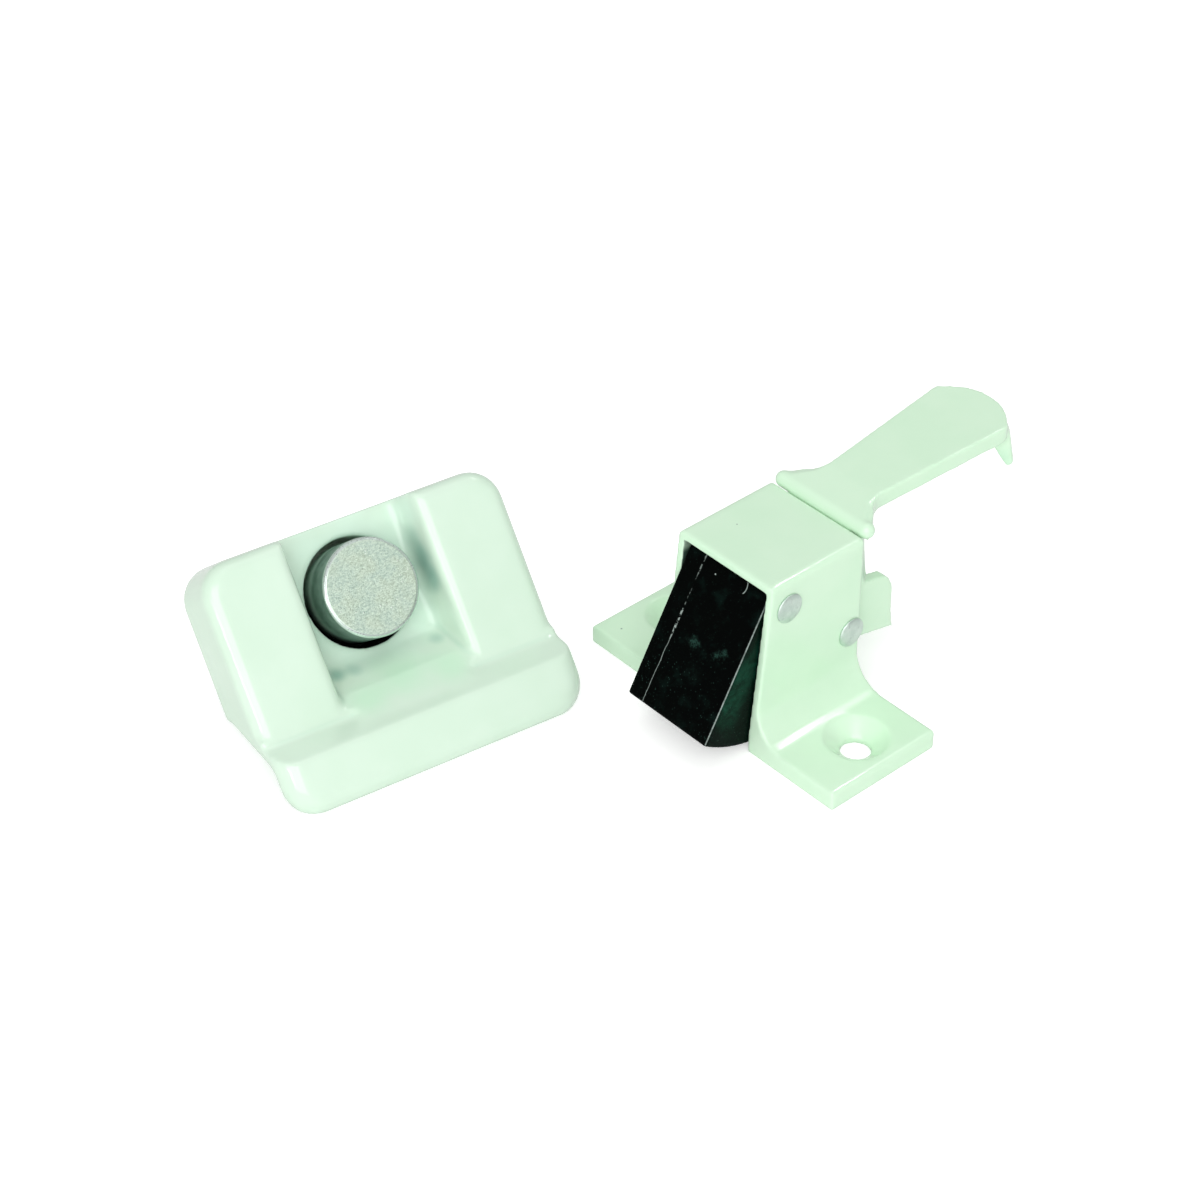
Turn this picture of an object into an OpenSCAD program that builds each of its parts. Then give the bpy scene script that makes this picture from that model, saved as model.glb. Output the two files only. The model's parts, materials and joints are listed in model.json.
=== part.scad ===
// Through-the-door latch for a light screen door, in two halves.
// The inner half carries a wedge bolt and a hand lever, and the outer half a push button.
// X runs along the inner base, Y from its bolt end to its handle end, Z away from the door.
// The origin lies midway between the screw holes of the inner base, on its underside.

/* [Inner base and hood] */
// Length of the base from screw end to screw end
base_w = 57; // [53:0.5:64]
// Depth of the base from the bolt side to the handle side
base_d = 23; // [22:0.5:28]
// Thickness of the base flanges
base_t = 3.5; // [2.5:0.1:4.5]
// Height of the hood above the door
hood_h = 31.9; // [31.9:0.1:36]
// Outside width of the hood
hood_w = 21.5; // [20:0.1:24]
// Thickness of the side walls of the hood
wall_t = 1.5; // [1:0.1:2]
// Thickness of the roof of the hood
roof_t = 1.5; // [1:0.1:1.8]
// How far the top of the hood's open front stands back from the base
front_lean = 3; // [1:0.1:3.2]
// Radius of the fillets between hood and flanges
fillet_r = 6.2; // [3:0.1:8]
// Radius of the hood's upper edges
hood_edge_r = 1.1; // [0.3:0.1:2]
// Radius of the flanges' outer edges
flange_edge_r = 0.8; // [0.2:0.1:1.5]
// Depth of the strip that joins the walls behind the opening in the base
bridge_d = 4.6; // [3:0.1:5]

/* [Fixing screws] */
// Distance between the two screw holes
screw_pitch = 42.3; // [40:0.1:46]
// Distance of the screw holes from the front edge of the base
screw_y = 12.6; // [10:0.1:14]
// Diameter of the screw holes
screw_hole_d = 5; // [4:0.1:5.5]
// Diameter of the countersinks at the surface
sink_d = 11; // [8:0.1:12]
// Depth of the countersinks
sink_h = 2.5; // [1.5:0.1:2.6]

/* [Pins] */
// Distance of the bolt's pin from the front edge
front_pin_y = 6.55; // [6.3:0.05:7.5]
// Height of the bolt's pin
front_pin_z = 26.75; // [26.5:0.05:26.8]
// How far the rear pin lies in front of the base's back edge
rear_pin_inset = 2; // [1.5:0.05:2.5]
// Height of the lever's pin
rear_pin_z = 14.3; // [13.8:0.05:14.8]
// Diameter of the pins
pin_d = 2.5; // [2:0.1:2.8]
// Diameter of the riveted heads of the pins
pin_head_d = 5.2; // [4:0.1:6]
// Height of the riveted heads
pin_head_h = 0.8; // [0.4:0.1:1.2]
// Radial clearance of what turns on a pin
pin_clear = 0.05; // [0.03:0.01:0.08]

/* [Bolt] */
// Side clearance of the bolt in the hood
bolt_clear = 0.15; // [0.1:0.05:0.4]
// Radius of the bolt's head round its pin
bolt_head_r = 3.55; // [3:0.05:3.6]
// Lean of the bolt's face from upright
bolt_lean = 29.7; // [26:0.1:32]
// Radius of the bolt's lower end round its pin
bolt_r = 26; // [24:0.1:26.2]
// Wall thickness of the bolt moulding
bolt_wall = 2.2; // [1.5:0.1:2.4]
// Width of the arm that the lever lifts
bolt_arm_w = 4; // [3:0.1:4.4]
// Radius of the nose of that arm
bolt_nose_r = 1.2; // [0.8:0.1:1.3]
// Distance of that nose behind the pin
bolt_nose_y = 7; // [6.5:0.1:7.5]

/* [Lever] */
// Gap between the lever's collar and the back edge of the hood
collar_gap = 0.3; // [0.2:0.05:0.6]
// Diameter of the collar bar
collar_d = 2.9; // [2.4:0.1:3.4]
// Thickness of the upright behind the hood
upright_t = 2.4; // [1.8:0.1:2.8]
// Thickness of the two cheeks on the pin
cheek_t = 2.1; // [1.6:0.1:2.4]
// Side clearance of the cheeks in the hood
cheek_clear = 0.25; // [0.2:0.05:0.5]
// Radius of the cheeks round the pin
cheek_r = 3.2; // [2.6:0.1:3.4]
// Reach of the tails behind the pin
tail_reach = 12.9; // [10:0.1:14]
// Height of the tails above the pin
tail_rise = 7.5; // [6.5:0.1:9]
// Droop of the tails
tail_droop = 13; // [8:0.5:15]
// Width of the handle at its neck
neck_w = 11.6; // [9:0.1:14]
// Width of the handle at its tip
tip_w = 16.2; // [12:0.1:19]
// Distance of the handle's tip behind the hood
handle_reach = 39.8; // [32:0.1:46]
// Thickness of the handle
handle_t = 3; // [2.2:0.1:3.4]
// Height of the handle's top above the hood, at the neck
handle_step = 2.1; // [1.8:0.1:3]
// Upward slope of the handle
handle_slope = 3.4; // [0:0.1:6]
// Depth of the turned-down end
hook_h = 8.6; // [6:0.1:10]
// Thickness of the turned-down end
hook_t = 2.6; // [2:0.1:3.2]
// How far the turned-down end flares outward
hook_flare = 1.6; // [0.5:0.1:2.4]
// Width of the tongue that lifts the bolt
tongue_w = 5; // [4.5:0.1:5.5]
// Thickness of the tongue
tongue_t = 2; // [1.6:0.1:2.2]
// Gap between the tongue and the bolt's nose
tongue_gap = 0.15; // [0.1:0.05:0.25]
// Height of the tongue's foot above the door
foot_z = 1.8; // [1.2:0.1:3]

/* [Springs] */
// Wire diameter of the two torsion springs
torsion_wire_d = 0.7; // [0.5:0.05:0.8]
// Turns of the two torsion springs
torsion_turns = 5; // [4:1:5]
// Wire diameter of the button's spring
button_wire_d = 0.8; // [0.6:0.05:0.9]
// Mean diameter of the button's spring
button_spring_d = 10; // [8:0.1:13]
// Turns of the button's spring
button_spring_turns = 4; // [3:1:5]

/* [Outer housing] */
// Width of the outer housing
outer_w = 54.2; // [52:0.1:60]
// Height of the housing above the button's axis
outer_top = 12.2; // [11.6:0.1:14]
// Distance from the button's axis down to the rear edge
outer_bottom = 12; // [11:0.1:12.6]
// Distance from the button's axis down to the lower edge of the lip
lip_bottom = 30.4; // [29:0.1:32]
// Height of the lugs above the door
lug_h = 12.4; // [11:0.1:13]
// Height of the lip above the door
lip_h = 17.4; // [16:0.1:19]
// Distance from the button's axis down to the lower ends of the lugs
lug_bottom = 17; // [16:0.1:18]
// Distance from the button's axis down to the top edge of the lip
lip_top = 20.8; // [20:0.1:22]
// Thickness of the lip, in front of the finger groove
lip_t = 4.2; // [3.6:0.1:5]
// Height of the floor of the recess above the door
recess_z = 4.6; // [4:0.1:5.4]
// Width of the floor of the recess
recess_w = 22.4; // [21.6:0.1:23]
// Distance from the button's axis down to the lower end of the recess floor
recess_bottom = 10.8; // [10.4:0.1:11.6]
// How much wider the recess is at its mouth than at its floor, on each side
recess_draft = 0.5; // [0.3:0.1:0.8]
// Wall thickness of the casting
cast_t = 2; // [1.5:0.1:2.2]
// Corner radius of the housing's outline
outer_corner_r = 5.6; // [4.4:0.1:7]
// Radius of the lugs' front edges
lug_edge_r = 2.4; // [1.5:0.1:3]
// Radius of the front edges at the ends of the lip
lip_edge_r = 3.4; // [2:0.1:4]
// Diameter of the threaded posts behind the lugs
post_d = 7.2; // [6.4:0.1:8]
// Diameter of the threaded holes in the posts
thread_d = 3.4; // [3:0.1:4]
// Depth of the threaded holes
thread_depth = 9; // [6:0.1:9.2]

/* [Push button] */
// Diameter of the button
button_d = 16.4; // [15:0.1:17]
// Gap between the button and its hole, on the radius
button_gap = 0.95; // [0.5:0.05:1]
// How far the button stands out of the recess floor
button_out = 6.4; // [5:0.1:7]
// Length of the button
button_len = 9.6; // [9:0.1:10]
// How far the button travels
button_travel = 4; // [3:0.1:4.2]
// Bevel round the face of the button
button_bevel = 0.5; // [0.2:0.05:0.8]
// Diameter of the stem
stem_d = 5; // [4:0.1:5.5]
// How far the stem reaches behind the housing
stem_reach = 19; // [18:0.1:22]
// Clearance of the stem in its guide, on the radius
stem_clear = 0.06; // [0.04:0.01:0.1]
// How far the button's barrel reaches behind the housing
barrel_reach = 8; // [7:0.1:10]
// Outside diameter of the clip on the stem
clip_d = 9.6; // [8:0.1:11]
// Thickness of the clip
clip_t = 0.8; // [0.6:0.1:1]

/* [Layout] */
// Where the middle of the outer half's back lies across the inner half's length
outer_x = -50.8; // [-70:0.1:-48]
// Where it lies along the inner half's depth
outer_y = -45.8; // [-60:0.1:0]
// Heading of the outer half's long side
outer_heading = 81.2; // [60:0.1:100]

/* [Hidden] */

eps = 0.01;
far = 100;
fine = 64;
cover = 1;

hood_half = hood_w / 2;
rear_pin_y = base_d - rear_pin_inset;
bay_half = hood_half - wall_t;
bay_top = hood_h - roof_t;
bay_corner_r = 0.25;
bolt_half = bay_half - bolt_clear;
cheek_out = bay_half - cheek_clear;
cheek_in = cheek_out - cheek_t;

// The arm's nose lies on the tongue, which lies above the lever's pin
tongue_top = 5.2;
bolt_nose_z = rear_pin_z + tongue_top + tongue_gap + bolt_nose_r - front_pin_z;
tongue_front = screw_y - 1.4;
foot_d = 2.8;

// The bolt's outline round its pin
face_top = [-bolt_head_r * cos(bolt_lean), bolt_head_r * sin(bolt_lean)];
face_len = sqrt(bolt_r * bolt_r - bolt_head_r * bolt_head_r);
face_end = face_top - face_len * [sin(bolt_lean), cos(bolt_lean)];
face_end_angle = atan2(face_end[1], face_end[0]);
bolt_back_angle = -93;

// The spring spaces
torsion_in_d = pin_d + 0.5;
torsion_mean_d = torsion_in_d + torsion_wire_d;
torsion_len = torsion_turns * torsion_wire_d * 1.06;
spring_gap = 0.2;
spring_x = spring_gap + torsion_wire_d / 2 - min(bolt_half - bolt_wall, cheek_in);
notch_x0 = spring_x - torsion_wire_d / 2 - spring_gap + 0.05;
notch_x1 = spring_x + torsion_len + torsion_wire_d / 2 + spring_gap;
notch_skin = 1.1;
spring_leg = 9;

collar_y = base_d + collar_gap + collar_d / 2;
collar_z = hood_h + 0.1;
upright_y = base_d + collar_gap;
handle_z = hood_h + handle_step;
neck_y = collar_y + 6;
tip_y = base_d + handle_reach;
tip_sag = 3.6;

button_hole_r = button_d / 2 + button_gap;
barrel_r = button_hole_r + 1.6;
button_top = recess_z + button_out;
button_back = button_top - button_len;
barrel_end_t = 1.5;
stem_r = stem_d / 2;
nose_r = 1.8;
nose = [nose_r - lip_bottom, lip_h - lip_t + nose_r];
groove_r = 3;

// The outer half leans on the nose of its lip and on the end of its stem
lean = [-nose[0] - stem_r, nose[1] + stem_reach];
outer_tilt = atan2(lean[1], lean[0]) - asin(nose_r / norm(lean));
outer_z = stem_r * sin(outer_tilt) + stem_reach * cos(outer_tilt);

mint = [0.80, 0.93, 0.82];
black = [0.05, 0.07, 0.06];
dull_silver = [0.66, 0.68, 0.67];
spring_steel = [0.55, 0.56, 0.58];

function arc(c, r, a0, a1, n = 8) =
    [for (i = [0:n]) let (a = a0 + (a1 - a0) * i / n) c + r * [cos(a), sin(a)]];

function flip(points) = [for (i = [len(points) - 1:-1:0]) [-points[i][0], points[i][1]]];

function unit(v) = v / norm(v);

// Rings of a round wire that follows a path
function ring(p, t, r, sides, phase = 0) =
    let (a = unit(cross(t, abs(t[0]) > 0.9 ? [0, 0, 1] : [1, 0, 0])), b = cross(t, a))
    [for (i = [0:sides - 1]) p + r * (cos(360 * i / sides + phase) * a + sin(360 * i / sides + phase) * b)];

// A profile drawn in Y and Z, drawn out along X
module along_x(x0, x1) {
    rotate([90, 0, 90]) translate([0, 0, x0]) linear_extrude(x1 - x0) children();
}

// A profile drawn in X and Z, drawn out along Y
module along_y(y0, y1) {
    translate([0, y1, 0]) rotate([90, 0, 0]) linear_extrude(y1 - y0) children();
}

module x_rod(x0, x1, d, y, z) {
    translate([x0, y, z]) rotate([0, 90, 0]) cylinder(h = x1 - x0, d = d, $fn = fine);
}

// Inner half, measured along Y from the front edge of its base

module from_front() {
    translate([0, -screw_y, 0]) children();
}

function half_body() = concat(
    [[base_w / 2, 0]],
    arc([base_w / 2 - flange_edge_r, base_t - flange_edge_r], flange_edge_r, 0, 90, 5),
    arc([hood_half + fillet_r, base_t + fillet_r], fillet_r, 270, 180, 12),
    arc([hood_half - hood_edge_r, hood_h - hood_edge_r], hood_edge_r, 0, 90, 6));

function half_bay() = concat(
    [[bay_half, base_t]],
    arc([bay_half - bay_corner_r, bay_top - bay_corner_r], bay_corner_r, 0, 90, 4));

module screw_hole() {
    translate([0, 0, -cover]) cylinder(h = base_t + 2 * cover, d = screw_hole_d, $fn = fine);
    translate([0, 0, base_t - sink_h]) cylinder(h = sink_h, d1 = screw_hole_d, d2 = sink_d, $fn = fine);
    translate([0, 0, base_t - eps]) cylinder(h = fillet_r, d = sink_d, $fn = fine);
}

module latch_body() {
    color(mint) from_front() difference() {
        along_y(0, base_d) polygon(concat(half_body(), flip(half_body())));
        along_y(-cover, base_d + cover) polygon(concat(half_bay(), flip(half_bay())));
        translate([-bay_half, -cover, -cover]) cube([2 * bay_half, base_d - bridge_d + cover, base_t + 2 * cover]);
        along_x(-far, far) polygon([[-cover, base_t], [0, base_t], [front_lean, hood_h], [front_lean, far], [-cover, far]]);
        for (side = [-1, 1]) translate([side * screw_pitch / 2, screw_y, 0]) screw_hole();
        x_rod(-far, far, pin_d + 2 * pin_clear, front_pin_y, front_pin_z);
        x_rod(-far, far, pin_d + 2 * pin_clear, rear_pin_y, rear_pin_z);
    }
}

// A pin with a riveted, slightly domed head at each end
module riveted_pin() {
    rim = pin_head_h * 0.4;
    dome_h = pin_head_h - rim;
    dome_r = (pow(pin_head_d / 2, 2) + pow(dome_h, 2)) / (2 * dome_h);
    half_angle = asin(pin_head_d / 2 / dome_r);
    top = hood_half + pin_head_h;
    cap = arc([0, top - dome_r], dome_r, 90 - half_angle, 90, 6);
    half = concat([[pin_d / 2, 0], [pin_d / 2, hood_half], [pin_head_d / 2, hood_half]], cap);
    lower = [for (i = [len(half) - 1:-1:1]) [half[i][0], -half[i][1]]];
    rotate([0, 90, 0]) rotate_extrude($fn = fine) polygon(concat(lower, half));
}

module bolt_pin() {
    color(dull_silver) from_front() translate([0, front_pin_y, front_pin_z]) riveted_pin();
}

module lever_pin() {
    color(dull_silver) from_front() translate([0, rear_pin_y, rear_pin_z]) riveted_pin();
}

// The wedge seen from the side: a face that touches the head round the pin, and a lower end round the same centre
module bolt_side() {
    circle(r = bolt_head_r, $fn = fine);
    polygon(concat([[bolt_head_r, 0], face_top, face_end],
                   arc([0, 0], bolt_r, face_end_angle, bolt_back_angle, 10)));
}

module bolt_face() {
    intersection() {
        bolt_side();
        rotate(-bolt_lean) translate([-bolt_head_r, -far]) square([bolt_wall, far + bolt_head_r]);
    }
}

module bolt_arm() {
    reach = [bolt_nose_y, bolt_nose_z];
    side = unit([-reach[1], reach[0]]) * bolt_nose_r;
    polygon([side, -side, reach - side, reach + side]);
    translate(reach) circle(r = bolt_nose_r, $fn = fine);
}

module bolt() {
    color(black) from_front() translate([0, front_pin_y, front_pin_z]) difference() {
        union() {
            for (side = [-1, 1])
                along_x(min(side * bolt_half, side * (bolt_half - bolt_wall)),
                        max(side * bolt_half, side * (bolt_half - bolt_wall))) bolt_side();
            along_x(-bolt_half, bolt_half) bolt_face();
            along_x(-bolt_half, bolt_half) circle(r = bolt_head_r, $fn = fine);
            along_x(-bolt_arm_w / 2, bolt_arm_w / 2) bolt_arm();
        }
        x_rod(-far, far, pin_d + 2 * pin_clear, 0, 0);
        along_x(notch_x0, notch_x1) rotate(-bolt_lean)
            translate([-bolt_head_r + notch_skin, -bolt_head_r - spring_leg])
                square([far, 2 * bolt_head_r + spring_leg]);
    }
}

// A coil round an X axis with a straight leg at each end
function coil_path(turns, mean_r, length, a0, leg0, leg1) =
    let (steps = 16,
         total = round(turns * steps),
         start = [0, mean_r * cos(a0), mean_r * sin(a0)],
         a1 = a0 + 360 * turns,
         stop = [length, mean_r * cos(a1), mean_r * sin(a1)],
         dir0 = [0, sin(a0), -cos(a0)],
         dir1 = [0, -sin(a1), cos(a1)])
    concat([start + leg0 * dir0],
           [for (i = [0:total]) let (a = a0 + 360 * turns * i / total)
               [length * i / total, mean_r * cos(a), mean_r * sin(a)]],
           [stop + leg1 * dir1]);

module wire(path, d, sides = 8) {
    last = len(path) - 1;
    rings = [for (i = [0:last])
        let (t = unit(path[min(i + 1, last)] - path[max(i - 1, 0)])) ring(path[i], t, d / 2, sides)];
    points = [for (r = rings) each r];
    walls = [for (i = [0:last - 1], j = [0:sides - 1])
        let (k = (j + 1) % sides) [i * sides + j, i * sides + k, (i + 1) * sides + k, (i + 1) * sides + j]];
    cap0 = [[for (j = [sides - 1:-1:0]) j]];
    cap1 = [[for (j = [0:sides - 1]) last * sides + j]];
    polyhedron(points = points, faces = concat(walls, cap0, cap1), convexity = 10);
}

module bolt_spring() {
    // One leg bears on the roof, and the other runs down the back of the bolt's face
    roof_leg_angle = 99;
    turns = torsion_turns + (180 - bolt_lean - roof_leg_angle) / 360;
    color(spring_steel) from_front() translate([spring_x, front_pin_y, front_pin_z])
        wire(coil_path(turns, torsion_mean_d / 2, torsion_len, roof_leg_angle, spring_leg, spring_leg), torsion_wire_d);
}

// The lever in its side view and its plan

module cheek_side() {
    chamfer = [2.4, 2.2];
    circle(r = cheek_r, $fn = fine);
    rotate(-tail_droop) polygon([
        [0, -cheek_r], [tail_reach, -cheek_r], [tail_reach - 1.2, 0], [tail_reach - 2.6, tail_rise - chamfer[1]],
        [tail_reach - 2.6 - chamfer[0] / 2, tail_rise - chamfer[1] / 3],
        [tail_reach - 2.6 - chamfer[0], tail_rise], [upright_y - rear_pin_y - 1.2, tail_rise], [-cheek_r, 0]]);
}

function handle_half() = concat(
    [[hood_half - 1, collar_y], [hood_half - 1.4, collar_y + 1.2]],
    arc([neck_w / 2 + 4.6, neck_y + 1], 4.6, 235, 180, 8));

// The tip is one wide arc between two rounded corners
tip_corner_r = 1.6;
tip_half = tip_w / 2 - tip_corner_r * 0.45;
tip_r = (tip_half * tip_half + tip_sag * tip_sag) / (2 * tip_sag);
tip_angle = asin(tip_half / tip_r);

module handle_plan() {
    corner = [tip_w / 2 - tip_corner_r, tip_y - tip_sag - tip_corner_r * 0.75];
    side = concat(handle_half(), arc(corner, tip_corner_r, 0, 48, 4));
    tip = arc([0, tip_y - tip_r], tip_r, 90 - tip_angle + 2, 90 + tip_angle - 2, 12);
    polygon(concat(side, tip, flip(side)));
}

// Top line of the lever from the collar over the neck to the tip
function handle_top() = [
    [collar_y, collar_z + collar_d * 0.36], [neck_y - 2.2, handle_z - 0.5], [neck_y, handle_z],
    [tip_y, handle_z + (tip_y - neck_y) * tan(handle_slope)]];

module handle_side() {
    top = handle_top();
    under = [for (i = [len(top) - 1:-1:0]) top[i] - [0, handle_t]];
    polygon(concat(top, under));
}

// The turned-down end follows the arc of the tip and flares outward as it goes down
module hook() {
    root = handle_t * 0.4;
    rotate([0, 0, 90 - tip_angle]) rotate_extrude(angle = 2 * tip_angle, $fn = fine) polygon([
        [tip_r - hook_t, -root], [tip_r - 0.1, -root], [tip_r + hook_flare * 0.4, -root - 1.4],
        [tip_r + hook_flare, -hook_h + 0.5], [tip_r + hook_flare - 0.4, -hook_h],
        [tip_r + hook_flare - 1, -hook_h], [tip_r + hook_flare - 1.5, -hook_h + 0.6]]);
}

// The collar is a round bar with rounded ends
module collar_bar() {
    r = collar_d / 2;
    reach = hood_half - r;
    rotate([0, 90, 0]) rotate_extrude($fn = fine)
        polygon(concat(arc([0, -reach], r, -90, 0, 6), arc([0, reach], r, 0, 90, 6)));
}

module lever() {
    tip_z = handle_top()[3][1];
    upright_z = rear_pin_z - torsion_mean_d / 2 + torsion_wire_d / 2 + 0.05;
    color(mint) from_front() difference() {
        union() {
            for (side = [-1, 1])
                translate([0, rear_pin_y, rear_pin_z])
                    along_x(min(side * cheek_in, side * cheek_out), max(side * cheek_in, side * cheek_out)) cheek_side();
            translate([-cheek_out, upright_y, upright_z]) cube([2 * cheek_out, upright_t, rear_pin_z + tail_rise - 1.5 - upright_z]);
            translate([-cheek_in, upright_y, upright_z]) cube([2 * cheek_in, upright_t, collar_z - upright_z]);
            translate([0, collar_y, collar_z]) collar_bar();
            intersection() {
                linear_extrude(far) handle_plan();
                along_x(-far, far) handle_side();
            }
            translate([0, tip_y - tip_r, tip_z]) hook();
            translate([-tongue_w / 2, tongue_front, rear_pin_z + tongue_top - tongue_t])
                cube([tongue_w, upright_y - tongue_front + eps, tongue_t]);
            translate([-tongue_w / 2, tongue_front, foot_z]) cube([tongue_w, foot_d, rear_pin_z + tongue_top - foot_z]);
        }
        x_rod(-far, far, pin_d + 2 * pin_clear, rear_pin_y, rear_pin_z);
    }
}

module lever_spring() {
    // One leg stands on the bridge of the base, and the other bears on the lower edge of the upright
    down_leg = rear_pin_z - base_t - torsion_wire_d / 2 - 0.05;
    back_leg = upright_y + upright_t / 2 - rear_pin_y;
    color(spring_steel) from_front() translate([spring_x, rear_pin_y, rear_pin_z])
        wire(coil_path(torsion_turns + 0.75, torsion_mean_d / 2, torsion_len, 0, down_leg, back_leg), torsion_wire_d);
}

// Outer half, drawn with X along its length, Y up its face and Z out of the door

module outer_place() {
    translate([outer_x, outer_y, outer_z]) rotate([outer_tilt, 0, outer_heading]) children();
}

// A slab with rounded corners whose rolled front edge follows them
module rolled_slab(h, edge_r, inset = 0) {
    half = outer_w / 2 - inset;
    top = outer_top - inset;
    low = -lip_bottom + inset;
    r = outer_corner_r - inset;
    edge = arc([0, h - edge_r], edge_r, 0, 90, 6);
    function section(reach) = concat([[reach, 0]], [for (p = edge) [p[0] + reach - edge_r, p[1]]]);
    function band(from, to) = concat([for (p = section(to)) p], [for (p = flip(section(-from))) p]);
    along_y(low + r, top - r) polygon(band(-half, half));
    along_x(r - half, half - r) polygon(band(low, top));
    for (u = [-1, 1], v = [0, 1])
        translate([u * (half - r), v ? top - r : low + r, 0])
            rotate([0, 0, v ? (u > 0 ? 0 : 90) : (u > 0 ? 270 : 180)])
                rotate_extrude(angle = 90, $fn = fine) polygon(concat([[0, 0]], section(r), [[0, h]]));
}

// The finger groove as seen from the side, from the back of the lip to the foot of the housing's back
function groove() =
    let (foot = [-outer_bottom - 0.8, 2.2], turn = [-lip_top - 0.5, lip_h - lip_t],
         slope = atan2(turn[1] - foot[1], foot[0] - turn[0]))
    concat(arc(turn - groove_r * [tan(slope / 2), 1], groove_r, 90, 90 - slope, 4), [foot, [-outer_bottom, 0]]);

module lug_side() {
    polygon(concat([[far, 0], [far, far], [-lip_top - 2, far]], groove()));
}

module lip_side() {
    front_r = lip_t - nose_r - 0.1;
    polygon(concat(
        [[-lug_bottom + 1.2, lug_h - 1.7]],
        arc([-lug_bottom - 0.4, lug_h + 1.2], 1.3, 300, 240, 3),
        arc([-lip_top - 1.2, lip_h - 1.2], 1.2, 30, 90, 4),
        arc([-lip_bottom + front_r, lip_h - front_r], front_r, 90, 180, 6),
        arc(nose, nose_r, 180, 270, 6),
        groove()));
}

// What the thumb reaches through: a floor between the lugs that ramps up to the lip
module recess() {
    half = recess_w / 2;
    low_r = 1.4;
    top_r = 2;
    wall = half + recess_draft;
    right = concat(
        [[half - low_r, recess_z]],
        arc([half - low_r, recess_z + low_r], low_r, 300, 360, 3),
        arc([wall + top_r, lug_h - top_r], top_r, 180, 90, 5),
        [[wall + top_r, far]]);
    intersection() {
        along_y(-lip_bottom, far) polygon(concat(right, flip(right)));
        along_x(-far, far) polygon(concat(
            [[far, recess_z]],
            arc([-recess_bottom + 1.8, recess_z + 1.8], 1.8, 270, 218, 4),
            [[-lug_bottom, lug_h + 0.2], [-lip_top + 0.6, lip_h], [-lip_top + 0.6, far], [far, far]]));
    }
}

module hollow() {
    inner = max(barrel_r + 1, recess_w / 2 + recess_draft + cast_t);
    outer = outer_w / 2 - cast_t;
    low = -outer_bottom + cast_t;
    for (side = [-1, 1])
        intersection() {
            translate([side > 0 ? inner : -outer, low, -cover]) cube([outer - inner, outer_top - cast_t - low, far]);
            translate([0, 0, -cover]) rolled_slab(lug_h - cast_t + cover, lug_edge_r, cast_t);
        }
}

module outer_housing() {
    color(mint) outer_place() difference() {
        union() {
            difference() {
                union() {
                    intersection() {
                        rolled_slab(lug_h, lug_edge_r);
                        along_x(-far, far) lug_side();
                    }
                    intersection() {
                        rolled_slab(lip_h, lip_edge_r);
                        along_x(-far, far) lip_side();
                    }
                }
                recess();
                hollow();
            }
            for (side = [-1, 1])
                translate([side * screw_pitch / 2, 0, 0]) cylinder(h = lug_h - cast_t / 2, d = post_d, $fn = fine);
            translate([0, 0, -barrel_reach]) cylinder(h = barrel_reach + recess_z - cast_t / 2, r = barrel_r, $fn = fine);
        }
        translate([0, 0, -barrel_reach + barrel_end_t]) cylinder(h = far, r = button_hole_r, $fn = fine);
        translate([0, 0, -far]) cylinder(h = far, r = stem_r + stem_clear, $fn = fine);
        for (side = [-1, 1])
            translate([side * screw_pitch / 2, 0, -cover]) cylinder(h = thread_depth + cover, d = thread_d, $fn = fine);
    }
}

module push_button() {
    bevel = button_bevel;
    r = button_d / 2;
    bore_r = stem_r + 0.02;
    bore_top = button_back + 5;
    color(dull_silver) outer_place() rotate_extrude($fn = fine) polygon([
        [bore_r, button_back], [r, button_back], [r, button_top - bevel], [r - bevel, button_top],
        [0, button_top], [0, bore_top], [bore_r, bore_top]]);
}

module push_stem() {
    top = button_back + 4.9;
    chamfer = 0.5;
    color(dull_silver) outer_place() rotate_extrude($fn = fine) polygon([
        [0, -stem_reach], [stem_r - chamfer, -stem_reach], [stem_r, -stem_reach + chamfer],
        [stem_r, -barrel_reach - 0.1 - clip_t - 0.02], [stem_r - 0.6, -barrel_reach - 0.1 - clip_t - 0.02],
        [stem_r - 0.6, -barrel_reach - 0.08], [stem_r, -barrel_reach - 0.08], [stem_r, top], [0, top]]);
}

module stem_clip() {
    groove_r = stem_r - 0.6;
    color(spring_steel) outer_place() translate([0, 0, -barrel_reach - 0.1 - clip_t])
        linear_extrude(clip_t) difference() {
            circle(d = clip_d, $fn = fine);
            circle(r = groove_r + 0.02, $fn = fine);
            translate([-groove_r * 0.8, 0]) square([groove_r * 1.6, clip_d]);
            for (side = [-1, 1]) translate([side * groove_r * 1.5, 0]) circle(r = groove_r * 0.5, $fn = fine);
        }
}

module button_spring() {
    seat = -barrel_reach + barrel_end_t;
    length = button_back - seat - button_wire_d - 0.1;
    color(spring_steel) outer_place() translate([0, 0, seat + button_wire_d / 2 + 0.05]) rotate([0, -90, 0])
        wire(coil_path(button_spring_turns, button_spring_d / 2, length, 0, 0.4, 0.4), button_wire_d);
}

latch_body();
bolt();
bolt_pin();
bolt_spring();
lever();
lever_pin();
lever_spring();
outer_housing();
push_button();
push_stem();
button_spring();
stem_clip();
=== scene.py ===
"""Looks of the two-part screen door latch: painted castings, black wedge bolt, dull metal button and rivets."""

import json
import math

import bmesh
import bpy
import numpy as np
from mathutils import Euler, Matrix, Vector


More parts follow.
